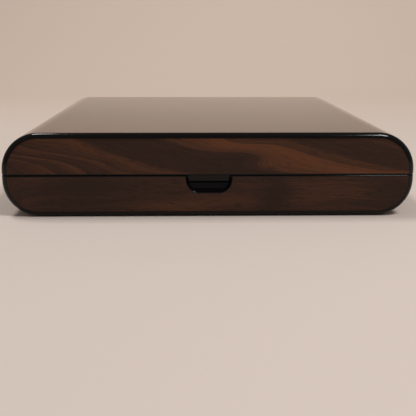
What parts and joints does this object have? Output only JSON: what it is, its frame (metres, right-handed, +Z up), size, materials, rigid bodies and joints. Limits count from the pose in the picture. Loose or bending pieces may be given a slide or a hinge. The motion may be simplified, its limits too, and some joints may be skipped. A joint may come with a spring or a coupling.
{
  "type": "wooden money box",
  "caption": "Flat hinged wooden money box with round-ended sides, black rounded edging, a finger notch in front and lined bays for notes and coins.",
  "frame": {"origin": "middle of the underside of the felt, where the box rests", "axes": "+Z up, the front with the finger notch faces -Y, +X to the right seen from the front"},
  "size_m": [0.27, 0.265, 0.0553],
  "materials": {
    "veneer": "dark figured rosewood veneer under clear high-gloss lacquer",
    "ebonised": "black stained hardwood under high-gloss lacquer",
    "core": "plain hardwood boards, hidden under veneer and lining",
    "suede": "taupe suede cloth over card and thin wood",
    "felt": "black felt",
    "brass": "machined and polished"
  },
  "bodies": {
    "base": {"base_bottom_board": "core", "base_left_cheek": "core", "base_right_cheek": "core", "base_front_rail": "core", "base_back_rail": "core", "base_wrap_veneer": "veneer", "base_front_veneer": "veneer", "base_back_veneer": "veneer", "base_front_edging": "ebonised", "base_back_edging": "ebonised", "base_rim_facing": "ebonised", "finger_notch_liner": "ebonised", "base_felt": "felt", "base_left_lining": "suede", "base_right_lining": "suede", "base_front_lining": "suede", "base_back_lining": "suede", "base_floor_pad": "suede", "long_divider": "suede", "note_divider": "suede", "front_coin_divider": "suede", "rear_coin_divider": "suede", "left_base_hinge_leaf": "brass", "right_base_hinge_leaf": "brass", "left_hinge_pin": "brass", "right_hinge_pin": "brass", "base_hinge_screws": "brass"},
    "lid": {"lid_top_board": "core", "lid_left_cheek": "core", "lid_right_cheek": "core", "lid_front_rail": "core", "lid_back_rail": "core", "lid_wrap_veneer": "veneer", "lid_front_veneer": "veneer", "lid_back_veneer": "veneer", "lid_front_edging": "ebonised", "lid_back_edging": "ebonised", "lid_rim_facing": "ebonised", "lid_left_lining": "suede", "lid_right_lining": "suede", "lid_front_lining": "suede", "lid_back_lining": "suede", "lid_pad": "suede", "left_lid_hinge_leaf": "brass", "right_lid_hinge_leaf": "brass", "lid_hinge_screws": "brass"}
  },
  "joints": [
    {"name": "lid_hinge", "type": "hinge", "parent": "base", "child": "lid", "pos_m": [0, 0.131, 0.0278], "axis": [-1, 0, 0], "range_deg": [0, 95]}
  ]
}
